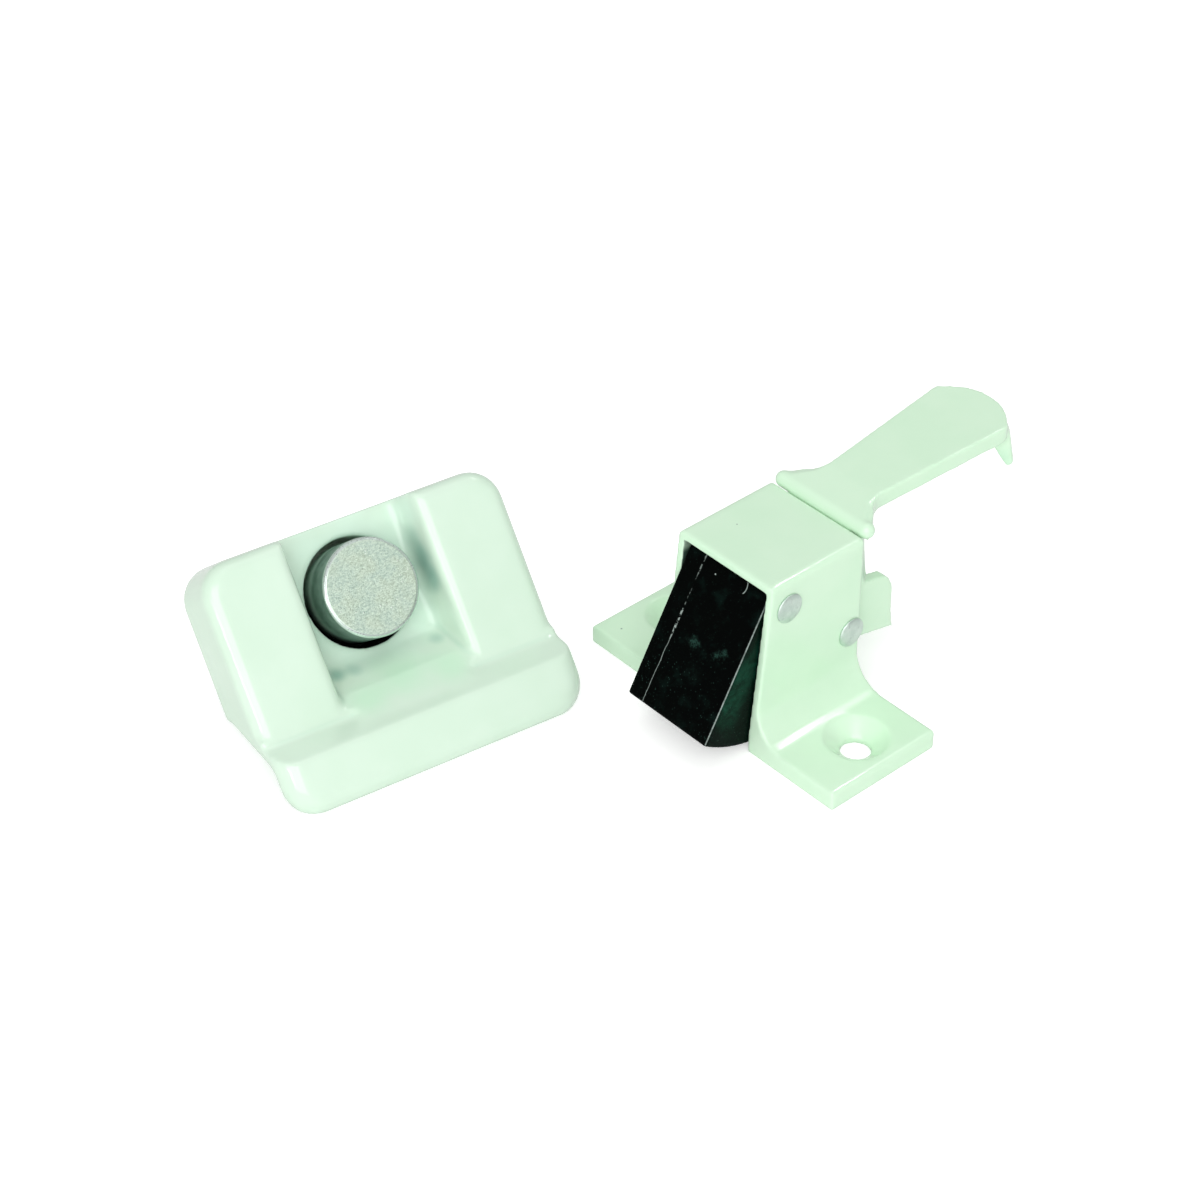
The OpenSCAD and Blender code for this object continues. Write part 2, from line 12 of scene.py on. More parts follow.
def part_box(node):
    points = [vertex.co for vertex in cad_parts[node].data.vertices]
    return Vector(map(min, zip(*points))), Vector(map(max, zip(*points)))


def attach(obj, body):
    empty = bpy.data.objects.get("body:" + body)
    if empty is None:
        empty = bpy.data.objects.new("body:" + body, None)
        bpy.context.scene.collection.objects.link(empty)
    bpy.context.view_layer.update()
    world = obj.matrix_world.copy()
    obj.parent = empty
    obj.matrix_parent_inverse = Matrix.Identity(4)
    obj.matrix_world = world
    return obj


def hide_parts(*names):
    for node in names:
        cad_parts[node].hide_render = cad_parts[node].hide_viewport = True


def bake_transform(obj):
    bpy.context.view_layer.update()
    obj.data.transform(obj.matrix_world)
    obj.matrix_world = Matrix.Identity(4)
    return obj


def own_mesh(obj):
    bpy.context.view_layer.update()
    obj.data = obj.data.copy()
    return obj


MM = 0.001

# Camera that was fitted to the photograph's 1200 pixel frame
FRAME_PX = 1200
FOCAL_PX = 3000
AZIMUTH, ELEVATION, ROLL = (math.radians(a) for a in (48.767, 38.054, -0.253))
CAMERA_DISTANCE = 486.671 * MM
AIM_POINT = Vector((0, -2.6, 8)) * MM
AIM_PIXEL = (753.68, 659.32)

# Colours, in linear light
MINT = (0.665, 0.91, 0.68)
MINT_PALE = (0.70, 0.93, 0.71)
OUTER_MINT = (0.68, 0.865, 0.705)
OUTER_PALE = (0.71, 0.885, 0.735)
# Painted shade for concave corners and under the lever's tip
MINT_PAINTED_SHADE = (0.40, 0.70, 0.52)
# Paler convex edges: a painted highlight, and thinner paint
MINT_THIN_EDGE_HIGHLIGHT = (0.76, 0.94, 0.79)
# Painted shade on the recess walls, painted light in the recess and painted bounce light on its ramp
MINT_SHADE = (0.13, 0.42, 0.34)
MINT_PAINTED_BOUNCE_LIGHT = (0.52, 0.91, 0.60)
MINT_RECESS_PAINTED_LIGHT = (0.77, 1.0, 0.84)
BLACK = (0.0008, 0.0012, 0.0011)
SCUFF = (0.004, 0.014, 0.011)
# Painted reflection of the hood's green on the bolt's side
PAINTED_SIDE_REFLECTION = (0.007, 0.062, 0.036)
SCRATCH = (0.36, 0.43, 0.40)
RIVET = (0.60, 0.71, 0.65)
BUTTON = (0.70, 0.80, 0.75)
STEEL = (0.52, 0.53, 0.55)

# Sizes of the castings' finish
BODY_VOXEL = 0.26 * MM
LEVER_VOXEL = 0.235 * MM
HOUSING_VOXEL = 0.345 * MM
BOLT_VOXEL = 0.24 * MM
EDGE_REFERENCE = 0.22 * MM
SKEW_GRID = Euler((0.55, 0.45, 0.35)).to_matrix().to_4x4()

# Pins: shank and riveted heads
PIN_SHANK_R = 1.25 * MM
RIVET_HEAD_H = 0.8 * MM
RIVET_RIM = 0.22 * MM

# Bolt: how far its face leans, and the radius of its round head
BOLT_LEAN = math.radians(29.7)
BOLT_HEAD_R = 3.55 * MM

# Scuffs on the bolt's face, in mm: across, down, size and weight
SCUFFS = ((-0.8, 12.2, 1.5, 1.0), (5.3, 11.0, 1.0, 0.8), (4.3, 12.2, 0.9, 1.0), (1.3, 17.0, 2.4, 0.12))

# Springs: wire, turns and legs as in the solids
TORSION_WIRE = 0.7 * MM
TORSION_TURNS = 5
TORSION_MEAN_R = 1.85 * MM
BUTTON_WIRE = 0.8 * MM
BUTTON_SPRING_R = 5 * MM
BUTTON_SPRING_TURNS = 4
ROOF_LEG_ANGLE = 99
BOLT_SPRING_LEG = 9 * MM
BUTTON_SPRING_LEG = 0.4 * MM
WIRE_SIDES = 14

# Button and recess of the outer half: height of the recess floor, the gap around the button, and the stem with its hole
RECESS_FLOOR = 4.6 * MM
BUTTON_GAP = 0.95 * MM
STEM_R = 2.5 * MM
STEM_GROOVE = 0.6 * MM
BUTTON_HOLE_R = 2.52 * MM
BUTTON_HOLE_DEPTH = 5 * MM

# Tip of the lever, in mm: radius of its arc and how far the turned-down end flares
TIP_R = 9.36
TIP_FLARE = 1.6


# Shader and geometry maths as Python expressions

class Value:
    """A node socket. Each operator adds one Math or Vector Math node to the socket's tree."""

    def __init__(self, graph, socket):
        self.graph = graph
        self.socket = socket

    def is_wide(self):
        return self.socket.type in {"VECTOR", "RGBA"}

    def maths(self, operation, *terms):
        wide = any(isinstance(t, (tuple, Vector)) or isinstance(t, Value) and t.is_wide() for t in terms)
        kind = "ShaderNodeVectorMath" if wide else "ShaderNodeMath"
        return self.graph.add(kind, dict(enumerate(terms)), operation=operation)

    def __add__(self, other):
        return self.maths("ADD", self, other)

    def __radd__(self, other):
        return self.maths("ADD", other, self)

    def __sub__(self, other):
        return self.maths("SUBTRACT", self, other)

    def __rsub__(self, other):
        return self.maths("SUBTRACT", other, self)

    def __mul__(self, other):
        return self.maths("MULTIPLY", self, other)

    def __rmul__(self, other):
        return self.maths("MULTIPLY", other, self)

    def __truediv__(self, other):
        return self.maths("DIVIDE", self, other)

    def __abs__(self):
        return self.maths("ABSOLUTE", self)

    def most(self, other):
        return self.maths("MAXIMUM", self, other)

    def least(self, other):
        return self.maths("MINIMUM", self, other)

    def dot(self, other):
        return self.graph.add("ShaderNodeVectorMath", {0: self, 1: other}, out="Value", operation="DOT_PRODUCT")

    def length(self):
        return self.graph.add("ShaderNodeVectorMath", {0: self}, out="Value", operation="LENGTH")

    def part(self, letter):
        return self.graph.add("ShaderNodeSeparateXYZ", {0: self}, out=letter)

    def step(self, low, high):
        """0 below low and 1 above high, with a smooth change between. With low above high it falls."""
        if low > high:
            return 1 - self.step(high, low)
        return self.graph.add("ShaderNodeMapRange", {"Value": self, "From Min": low, "From Max": high},
                              interpolation_type="SMOOTHSTEP")

    def mix(self, a, b):
        """a where this is 0 and b where it is 1."""
        wide = isinstance(a, tuple) or isinstance(a, Value) and a.is_wide()
        slots = (6, 7, 2) if wide else (2, 3, 0)
        return self.graph.add("ShaderNodeMix", {0: self, slots[0]: a, slots[1]: b}, out=slots[2],
                              data_type="RGBA" if wide else "FLOAT")


class Graph:
    """A node tree that grows one node at a time."""

    def __init__(self, tree):
        self.tree = tree

    def feed(self, socket, value):
        if isinstance(value, Value):
            self.tree.links.new(value.socket, socket)
            return
        size = len(socket.default_value) if hasattr(socket.default_value, "__len__") else 0
        if size and isinstance(value, (int, float)):
            value = (value,) * size
        if size == 4 and len(value) == 3:
            value = (*value, 1)
        socket.default_value = value

    def add(self, kind, inputs=None, out=0, **settings):
        node = self.tree.nodes.new(kind)
        for key, value in settings.items():
            setattr(node, key, value)
        for key, value in (inputs or {}).items():
            self.feed(node.inputs[key], value)
        return Value(self, node.outputs[out])

    def noise(self, where, size, detail=2.0, roughness=0.5, distortion=0.0):
        inputs = {"Vector": where, "Scale": 1 / size, "Detail": detail, "Roughness": roughness}
        return self.add("ShaderNodeTexNoise", {**inputs, "Distortion": distortion}, out="Fac")

    def cells(self, where, size, out="Distance"):
        return self.add("ShaderNodeTexVoronoi", {"Vector": where, "Scale": 1 / size}, out=out)

    def light_path(self, kind):
        return self.add("ShaderNodeLightPath", out=kind)

    def attribute(self, name):
        return self.add("ShaderNodeAttribute", out="Fac", attribute_name=name)

    def bump(self, height, depth, normal=None, strength=1.0):
        inputs = {"Height": height, "Distance": depth, "Strength": strength}
        if normal is not None:
            inputs["Normal"] = normal
        return self.add("ShaderNodeBump", inputs)


class Finish(Graph):
    """A material under construction: constants go on its shader at once, and changing values are linked."""

    def __init__(self, name, **constants):
        self.material = bpy.data.materials.new(name)
        self.material.use_nodes = True
        super().__init__(self.material.node_tree)
        self.shader = self.tree.nodes["Principled BSDF"]
        self.where = self.add("ShaderNodeTexCoord", out="Object")
        self.set(**constants)

    def set(self, **values):
        for key, value in values.items():
            self.feed(self.shader.inputs[key.replace("_", " ")], value)
        return self


# Finishes

def paint_finish(name, seed, tones, marks=(), bay_shade=None, painted_light_and_shade=(), bore_shade=None):
    """Thick glossy paint: orange peel, paler on convex edges as a painted highlight and thinner paint, painted shade in
    concave corners, with a few specks and chips.

    marks are (x, y, z, radius) in mm. bay_shade is the half width, floor, roof and front of a hood whose inside gets
    painted shade.
    painted_light_and_shade are soft patches of painted light and shade, (point, reach, strength, tone). bore_shade is
    the origin, axis, shaded side, radius, bottom and top of a hole whose inside gets painted shadow."""
    f = Finish(name, Coat_Roughness=0.06, Specular_IOR_Level=0.4)
    where = f.where + Vector((seed, 0, 0))
    edge = f.attribute("edge")
    cloud = f.noise(where, 11 * MM, 3)
    colour = cloud.step(0.3, 0.7).mix(*tones)
    # Painted shade in concave corners
    colour = (edge.step(-0.3, -1.8) * 0.3).mix(colour, MINT_PAINTED_SHADE)
    # Paler convex edges: a painted highlight, and thinner paint
    colour = (edge.step(0.35, 1.1) * 0.5).mix(colour, MINT_THIN_EDGE_HIGHLIGHT)
    # Soft patches of painted light and painted shade
    for point, reach, strength, tone in painted_light_and_shade:
        near = ((f.where - tuple(point)) / tuple(reach)).length() + (f.noise(where, 4 * MM, 1) - 0.5) * 0.4
        colour = (near.step(1.1, 0.15) * strength).mix(colour, tone)
    chip = edge.step(0.6, 0.85) * f.noise(where, 0.8 * MM, 3, 0.7).step(0.70, 0.74)
    dark = chip * 0.6
    ragged = (f.noise(where, 0.35 * MM, 2) - 0.5) * (0.25 * MM)
    for x, y, z, radius in marks:
        away = (f.where - (x * MM, y * MM, z * MM)).length() + ragged
        dark = dark.most(away.step(radius * MM, radius * 0.5 * MM) * 0.8)
    colour = dark.mix(colour, (0.16, 0.27, 0.22))
    # Painted shade on the hood's inner walls beside the bolt, lighter just under the roof
    if bay_shade:
        half_width, floor_z, roof_z, front = bay_shade
        inside = abs(f.where.part("X")).step(half_width + 0.25 * MM, half_width + 0.08 * MM)
        height = f.where.part("Z")
        inside = inside * height.step(floor_z, floor_z + 2 * MM) * height.step(roof_z + 0.25 * MM, roof_z)
        inside = inside * (f.where.part("Y") - front).step(0, 0.5 * MM)
        corner = height.step(roof_z - 2.4 * MM, roof_z - 1.0 * MM)
        colour = (inside * (0.97 - corner * 0.35)).mix(colour, (0.012, 0.034, 0.026))
    # Painted shadow inside the hole round the button, darkest on its lower side
    if bore_shade:
        origin, axis, shaded_side, radius, bottom, top = bore_shade
        rel = f.where - tuple(origin)
        out = rel.dot(axis)
        beside = rel.dot(rel) - out * out
        inside = beside.step((radius + 0.35 * MM) ** 2, (radius + 0.1 * MM) ** 2) * out.step(top, top - 0.4 * MM)
        inside = inside * out.step(bottom + 0.5 * MM, bottom + 1 * MM)
        colour = (inside * rel.dot(shaded_side).step(-6 * MM, 1 * MM)).mix(colour, (0.006, 0.012, 0.010))
    peel = f.noise(where, 1.3 * MM, 2, 0.45)
    swell = f.noise(where, 6.5 * MM, 1)
    height = peel + swell * 3.2 + f.noise(where, 0.32 * MM, 1) * 0.12 - dark * 1.2
    rough = f.noise(where, 3.5 * MM, 3).mix(0.12, 0.21)
    return f.set(Base_Color=colour, Roughness=rough, Coat_Weight=0.3 + cloud * 0.2,
                 Normal=f.bump(height, 0.011 * MM)).material


def bolt_finish(face_top, face_normal, down_face, half_width):
    """Black moulded plastic with a broken light scratch, a worn bright edge, a hair, soft scuffs and a painted
    reflection of the hood's green on its side.
    """
    f = Finish("bolt_plastic", Specular_IOR_Level=0.02, Coat_Roughness=0.22)
    rel = f.where - tuple(face_top)
    across = f.where.part("X")
    down = rel.dot(down_face)
    depth = rel.dot(face_normal) * -1
    on_face = depth.step(0.35 * MM, 0.15 * MM)

    # The broken line down the face, wide in its middle and thin at its lower end
    track = abs(across + 5.3 * MM + down * 0.014 + (f.noise(f.where, 1.6 * MM, 2) - 0.5) * (0.35 * MM))
    middle = abs(down - 11 * MM).step(4 * MM, 1 * MM)
    top = down.step(3.5 * MM, 1.5 * MM)
    lower = down.step(12.5 * MM, 15 * MM)
    width = 0.05 * MM + middle * (0.13 * MM) + top * (0.08 * MM)
    broken = f.noise(f.where, 0.9 * MM, 3, 0.65).step(0.47, 0.56).most(lower * 0.75)
    scratch = (width - track).step(-0.06 * MM, 0.05 * MM) * broken * (0.3 + (middle * 0.6 + top * 0.15 + lower * 0.45))

    # A short curved hair near the top, and a speck
    hair_down = down - 0.1 * MM
    hair_x = across - 4.45 * MM + hair_down * hair_down / (3.2 * MM)
    hair = abs(hair_x).step(0.12 * MM, 0.05 * MM) * abs(hair_down).step(1.05 * MM, 0.95 * MM)
    speck = (rel - tuple(Vector((-2.2, 0, 0)) * MM + 0.9 * MM * Vector(down_face))).length().step(0.17 * MM, 0.10 * MM)
    marks = scratch.most(hair * 0.8).most(speck) * on_face

    # Three soft scuffs, dust and a mottled sheen
    scuff = None
    ragged = (f.noise(f.where, 1.3 * MM, 3, 0.7) - 0.5) * (3.2 * MM)
    for x, y, size, weight in SCUFFS:
        spot_at = Vector((x, 0, 0)) * MM + y * MM * Vector(down_face)
        spot = ((rel - tuple(spot_at)).length() + ragged).step(size * MM, 0.2 * size * MM) * weight
        scuff = spot if scuff is None else scuff.most(spot)
    ring = abs(f.noise(f.where, 0.8 * MM, 3, 0.6) - 0.52).step(0.09, 0.0)
    scuff = scuff * (ring * 0.8 + 0.2) * on_face
    dust = f.cells(f.where, 0.45 * MM).step(0.26, 0.08) * f.noise(f.where, 0.9 * MM, 4, 0.7).step(0.46, 0.60)
    dust = dust * (0.3 + down.step(9 * MM, 17 * MM) * 0.7)
    smudge = f.noise(f.where, 3.0 * MM, 4, 0.62, 0.4).step(0.52, 0.78)

    # The worn front edge, and a painted reflection of the hood's green on the side
    corner = (half_width - across).most(depth)
    worn = corner.step(0.27 * MM, 0.15 * MM) * (0.55 + f.noise(f.where, 1.2 * MM, 3, 0.6).step(0.35, 0.6) * 0.45)
    side = across.step(half_width - 0.25 * MM, half_width - 0.05 * MM)
    mottle = f.noise(f.where, 2.4 * MM, 3, 0.6, 0.6).step(0.35, 0.65)
    grain = f.noise(f.where, 0.35 * MM, 2, 0.6).step(0.40, 0.70)
    sheen = depth.step(6.5 * MM, 1.5 * MM) * (down + depth).step(6 * MM, 18 * MM)
    sheen = sheen * (down - depth * 0.6).step(23 * MM, 17 * MM)
    side_painted_reflection = (sheen * (0.25 + mottle * 0.6) + grain * 0.12).least(1).mix((0.0008, 0.0035, 0.0022), PAINTED_SIDE_REFLECTION)
    colour = side.mix((smudge * 0.5).mix(BLACK, SCUFF), side_painted_reflection)
    colour = (dust * 0.8).mix(colour, (0.032, 0.075, 0.060))
    colour = (scuff * 0.6).mix(colour, (0.028, 0.080, 0.062))
    colour = marks.most(worn * 0.85).mix(colour, SCRATCH)
    height = f.noise(f.where, 0.5 * MM, 2) * 0.5 + f.noise(f.where, 2.2 * MM, 1) * 1.4 + marks * 1.5
    return f.set(Base_Color=colour, Roughness=0.30 + smudge * 0.15 + scuff * 0.2, Coat_Weight=side * 0.04,
                 Normal=f.bump(height, 0.008 * MM)).material


def rivet_finish():
    """Dull rolled metal with faint dents."""
    f = Finish("rivet_metal", Metallic=1.0)
    tone = f.noise(f.where, 1.7 * MM, 4, 0.6)
    stain = f.noise(f.where, 0.9 * MM, 3).step(0.55, 0.75)
    colour = (stain * 0.4).mix(tone.step(0.3, 0.7).mix(RIVET, (0.74, 0.84, 0.78)), (0.38, 0.45, 0.41))
    height = f.noise(f.where, 0.8 * MM, 3, 0.6) + f.noise(f.where, 0.2 * MM, 1) * 0.15
    return f.set(Base_Color=colour, Roughness=0.36 + tone * 0.22, Normal=f.bump(height, 0.05 * MM)).material


def button_finish(centre, axis, face_height, radius):
    """Button metal: rough pitted face inside a smooth bright bevel, and a plain turned side in a painted dark green
    reflection, with painted light on its upper part near the recess floor.
    """
    f = Finish("dull_silver")
    rel = f.where - tuple(centre)
    height = rel.dot(axis)
    beside = rel.dot(rel) - height * height
    inside = beside.step((radius - 0.46 * MM) ** 2, (radius - 0.62 * MM) ** 2) * height.step(
        face_height - 0.2 * MM, face_height - 0.1 * MM)
    side = height.step(face_height - 0.4 * MM, face_height - 0.6 * MM)
    grain = f.where * (1.5, 0.8, 1.5)
    lump = f.noise(grain, 0.42 * MM, 6, 0.7)
    pits = f.cells(grain, 0.32 * MM).step(0.42, 0.1)
    nick = f.cells(f.where + Vector((0.3, 0, 0)), 1.3 * MM).step(0.14, 0.05)
    cloud = f.noise(f.where, 3.5 * MM, 2).step(0.35, 0.65)
    tone = lump.step(0.3, 0.7).mix(cloud.mix((0.46, 0.62, 0.53), (0.52, 0.64, 0.50)), (0.84, 0.97, 0.84))
    # The side's dark green is a painted reflection of the gap and green walls; upper marks painted light on the side's
    # upper part
    plain = f.noise(f.where, 1.6 * MM, 3).step(0.3, 0.7).mix((0.15, 0.25, 0.20), (0.09, 0.17, 0.13))
    upper = rel.part("Z").step(-3 * MM, 2 * MM) * height.step(RECESS_FLOOR + 1.5 * MM, RECESS_FLOOR - 1 * MM)
    colour = inside.mix(side.mix(BUTTON, upper.mix(plain, (0.60, 0.80, 0.70))), tone)
    colour = (nick * inside * 0.7).mix(colour, (0.95, 1.0, 0.95))
    relief = (lump * 1.3 - pits * 0.35 + nick * 0.5) * inside + f.noise(f.where, 0.3 * MM, 2) * 0.06
    rough = inside.mix(0.24, 0.42) + lump * 0.08 + side * 0.15
    normal = f.bump(relief, 0.07 * MM)
    return f.set(Base_Color=colour, Metallic=1 - side * 0.72, Roughness=rough, Normal=normal).material


def steel_finish(name, shade):
    """Drawn or turned steel, a little stained."""
    f = Finish(name, Metallic=1.0)
    stain = f.noise(f.where, 2.0 * MM, 4, 0.6).step(0.4, 0.75)
    colour = stain.mix(shade, tuple(c * 0.62 for c in shade))
    lines = f.noise(f.where, 0.25 * MM, 2)
    return f.set(Base_Color=colour, Roughness=0.28 + stain * 0.2, Normal=f.bump(lines, 0.012 * MM)).material


# Mesh helpers

def link(name, mesh):
    piece = bpy.data.objects.new(name, mesh)
    bpy.context.scene.collection.objects.link(piece)
    return piece


def freeze(piece):
    """Turns a piece and its modifiers into one plain mesh."""
    view = bpy.context.evaluated_depsgraph_get()
    mesh = bpy.data.meshes.new_from_object(piece.evaluated_get(view))
    name = piece.name
    bpy.data.objects.remove(piece)
    mesh.name = name
    return link(name, mesh)


def finish_piece(piece, body, node, material):
    piece.data.materials.clear()
    piece.data.materials.append(material)
    piece.data.shade_smooth()
    if body:
        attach(piece, body)
    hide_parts(node)
    return piece


def coordinates(mesh):
    co = np.empty(len(mesh.vertices) * 3)
    mesh.vertices.foreach_get("co", co)
    return co.reshape(-1, 3)


def directions(mesh):
    normals = np.empty(len(mesh.vertices) * 3)
    mesh.vertices.foreach_get("normal", normals)
    return normals.reshape(-1, 3)


def relax(mesh, rounds, fill=0, above=-1.0):
    """Rounds a mesh's edges, fills its concave corners above a height, and keeps as "edge" how far points went in."""
    co = coordinates(mesh)
    start = co.copy()
    normals = directions(mesh)
    ends = np.empty(len(mesh.edges) * 2, int)
    mesh.edges.foreach_get("vertices", ends)
    a, b = ends.reshape(-1, 2).T
    count = np.bincount(np.r_[a, b], minlength=len(co)).clip(1)
    for turn in range(rounds + fill):
        total = np.stack([np.bincount(np.r_[a, b], np.r_[co[b, i], co[a, i]], len(co)) for i in range(3)], 1)
        step = 0.6 * (total / count[:, None] - co)
        if turn >= rounds:
            step *= (((step * normals).sum(1) > 0) & (co[:, 2] > above))[:, None]
        co += step
    inward = ((start - co) * normals).sum(1) / EDGE_REFERENCE
    mesh.attributes.new("edge", "FLOAT", "POINT").data.foreach_set("value", inward.clip(-2, 2))
    mesh.vertices.foreach_set("co", co.ravel())
    mesh.update()


def soft_copy(node, name, voxel, rounds, fill=0, above=-1.0, grid=Matrix(), reshape=None):
    """A copy of a solid with its edges rounded, as thick paint or moulding leaves them."""
    mesh = frame["nodes"][node].data.copy()
    bm = bmesh.new()
    bm.from_mesh(mesh)
    bmesh.ops.remove_doubles(bm, verts=bm.verts, dist=0.002 * MM)
    bm.to_mesh(mesh)
    bm.free()
    mesh.transform(grid)
    piece = link(name + "_rough", mesh)
    remesh = piece.modifiers.new("even_skin", "REMESH")
    remesh.mode = "VOXEL"
    remesh.voxel_size = voxel
    remesh.adaptivity = 0
    piece = freeze(piece)
    piece.data.transform(grid.inverted())
    if reshape:
        reshape(piece.data)
    relax(piece.data, rounds, fill, above)
    piece.name = name
    return piece


def arc(centre, radius, start, end, steps):
    """Points of a round stretch, in degrees."""
    angles = [math.radians(start + (end - start) * i / steps) for i in range(steps + 1)]
    return [(centre[0] + radius * math.cos(a), centre[1] + radius * math.sin(a)) for a in angles]


def turned(name, profile, place, steps=128):
    """A closed turned piece. The profile runs from pole to pole as (radius, height) along the place's Z."""
    bm = bmesh.new()
    rings = []
    for radius, height in profile:
        count = steps if radius > 1e-9 else 1
        angles = (2 * math.pi * i / steps for i in range(count))
        points = (Vector((radius * math.cos(t), radius * math.sin(t), height)) for t in angles)
        rings.append([bm.verts.new(place @ point) for point in points])
    for low, high in zip(rings, rings[1:]):
        for i in range(steps):
            j = i + 1
            ring = (low[i % len(low)], low[j % len(low)], high[j % len(high)], high[i % len(high)])
            bm.faces.new(list(dict.fromkeys(ring)))
    bmesh.ops.recalc_face_normals(bm, faces=bm.faces)
    mesh = bpy.data.meshes.new(name)
    bm.to_mesh(mesh)
    bm.free()
    return link(name, mesh)


def facing(origin, axis):
    """A place whose Z runs along axis."""
    return Matrix.Translation(origin) @ Vector(axis).to_track_quat("Z", "Y").to_matrix().to_4x4()


def extent(node, place):
    """Lowest and highest corner of a CAD node in the axes of a place."""
    co = coordinates(frame["nodes"][node].data)
    turn = np.array(place.inverted())
    local = co @ turn[:3, :3].T + turn[:3, 3]
    return local.min(0), local.max(0)


# Springs, by Geometry Nodes

def wire_tree():
    """Geometry Nodes that give a path of edges the round section of a spring's wire."""
    tree = bpy.data.node_groups.new("spring_wire", "GeometryNodeTree")
    sockets = {}
    for label, kind, way in (("Path", "NodeSocketGeometry", "INPUT"), ("Wire diameter", "NodeSocketFloat", "INPUT"),
                             ("Sides", "NodeSocketInt", "INPUT"), ("Finish", "NodeSocketMaterial", "INPUT"),
                             ("Wire", "NodeSocketGeometry", "OUTPUT")):
        sockets[label] = tree.interface.new_socket(label, in_out=way, socket_type=kind).identifier
    g = Graph(tree)
    given = tree.nodes.new("NodeGroupInput").outputs
    take = {label: Value(g, given[label]) for label in ("Path", "Wire diameter", "Sides", "Finish")}
    path = g.add("GeometryNodeMeshToCurve", {0: take["Path"]})
    round_section = {"Resolution": take["Sides"], "Radius": take["Wire diameter"] * 0.5}
    section = g.add("GeometryNodeCurvePrimitiveCircle", round_section)
    tube = g.add("GeometryNodeCurveToMesh", {"Curve": path, "Profile Curve": section, "Fill Caps": True})
    smooth = g.add("GeometryNodeSetShadeSmooth", {0: tube})
    real = g.add("GeometryNodeRealizeInstances", {0: smooth})
    done = g.add("GeometryNodeSetMaterial", {"Geometry": real, "Material": take["Finish"]})
    tree.links.new(done.socket, tree.nodes.new("NodeGroupOutput").inputs[0])
    return tree, sockets


def coil(turns, radius, length, start, legs, per_turn=40):
    """Path of a coil about X with straight legs that leave it along its tangents."""
    total = round(turns * per_turn)
    swept = 2 * math.pi * turns
    points = [Vector((length * i / total, radius * math.cos(start + swept * i / total),
                      radius * math.sin(start + swept * i / total))) for i in range(total + 1)]
    end = start + swept
    first = points[0] + legs[0] * Vector((0, math.sin(start), -math.cos(start)))
    last = points[-1] + legs[1] * Vector((0, -math.sin(end), math.cos(end)))
    return [first, *points, last]


def spring(name, path, place, wire, material):
    mesh = bpy.data.meshes.new(name)
    mesh.from_pydata([place @ p for p in path], [(i, i + 1) for i in range(len(path) - 1)], [])
    piece = link(name, mesh)
    maker = piece.modifiers.new("wire", "NODES")
    maker.node_group = WIRE_TREE
    maker[WIRE_SOCKETS["Wire diameter"]] = wire
    maker[WIRE_SOCKETS["Sides"]] = WIRE_SIDES
    maker[WIRE_SOCKETS["Finish"]] = material
    return freeze(piece)


# The frame's own places

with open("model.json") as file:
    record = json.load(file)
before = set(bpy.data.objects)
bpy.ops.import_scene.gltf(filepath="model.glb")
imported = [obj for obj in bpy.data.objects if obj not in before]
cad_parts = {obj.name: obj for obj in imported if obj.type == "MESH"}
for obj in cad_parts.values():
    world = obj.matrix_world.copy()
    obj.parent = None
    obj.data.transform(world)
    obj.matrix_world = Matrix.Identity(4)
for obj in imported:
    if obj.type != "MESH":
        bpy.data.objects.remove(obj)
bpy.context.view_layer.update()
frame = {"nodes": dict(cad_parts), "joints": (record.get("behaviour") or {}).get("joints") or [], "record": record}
mounts = {m["name"]: m for m in frame["record"]["mounts"]}
joints = {j["name"]: j for j in frame["joints"]}

FRONT_PIN = Vector(joints["bolt_hinge"]["pos_m"])
REAR_PIN = Vector(joints["lever_hinge"]["pos_m"])
OUT = -Vector(joints["button_slide"]["axis"])
BUTTON_TRAVEL = next(j["range_m"][1] for j in frame["record"]["behaviour"]["joints"] if j["name"] == "button_slide")
post_a, post_b = (Vector(mounts[n]["pos_m"]) for n in ("post_thread_a", "post_thread_b"))
OUTER = facing((post_a + post_b) / 2 - 0.5 * MM * OUT, OUT)
ALONG = (post_a - post_b).normalized()
UP = OUT.cross(ALONG)


def outer_at(along, up, out):
    """A point of the outer half: mm along it, up its face and out from its back."""
    return OUTER.translation + MM * (along * ALONG + up * UP + out * OUT)


# Finishes in use

bolt_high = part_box("bolt")[1]
face_normal = Vector((0, -math.cos(BOLT_LEAN), math.sin(BOLT_LEAN)))
down_face = Vector((0, -math.sin(BOLT_LEAN), -math.cos(BOLT_LEAN)))
face_top = FRONT_PIN + BOLT_HEAD_R * face_normal

button_low, button_high = extent("push_button", OUTER)
button_r = button_high[0]

hood_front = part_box("latch_body")[0].y
inner_marks = [(-24.4, -9.6, 3.5, 0.22), (-5.5, -1.9, 31.9, 0.13), (10.7, -11.8, 12.5, 0.2), (29.1, -12.6, 3.4, 0.2)]
# The hood's inside, which gets painted shade
inner_bay_shade = (bolt_high.x + 0.15 * MM, 6 * MM, 30.4 * MM, hood_front + 0.4 * MM)
inner_paint = paint_finish("mint_paint", 0.0, (MINT, MINT_PALE), inner_marks, inner_bay_shade)

tip_inside = Vector((0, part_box("lever")[1].y - 5.4 * MM, 28.9 * MM))
# Painted shade on the inner face of the turned-down tip, under the handle
tip_painted_shade = (tip_inside, (14 * MM, 2.3 * MM, 3.3 * MM), 0.5, MINT_PAINTED_SHADE)
lever_paint = paint_finish("mint_paint_lever", 0.4, (MINT, MINT_PALE), [(6.1, 12.3, 34.2, 0.14)], painted_light_and_shade=[tip_painted_shade])

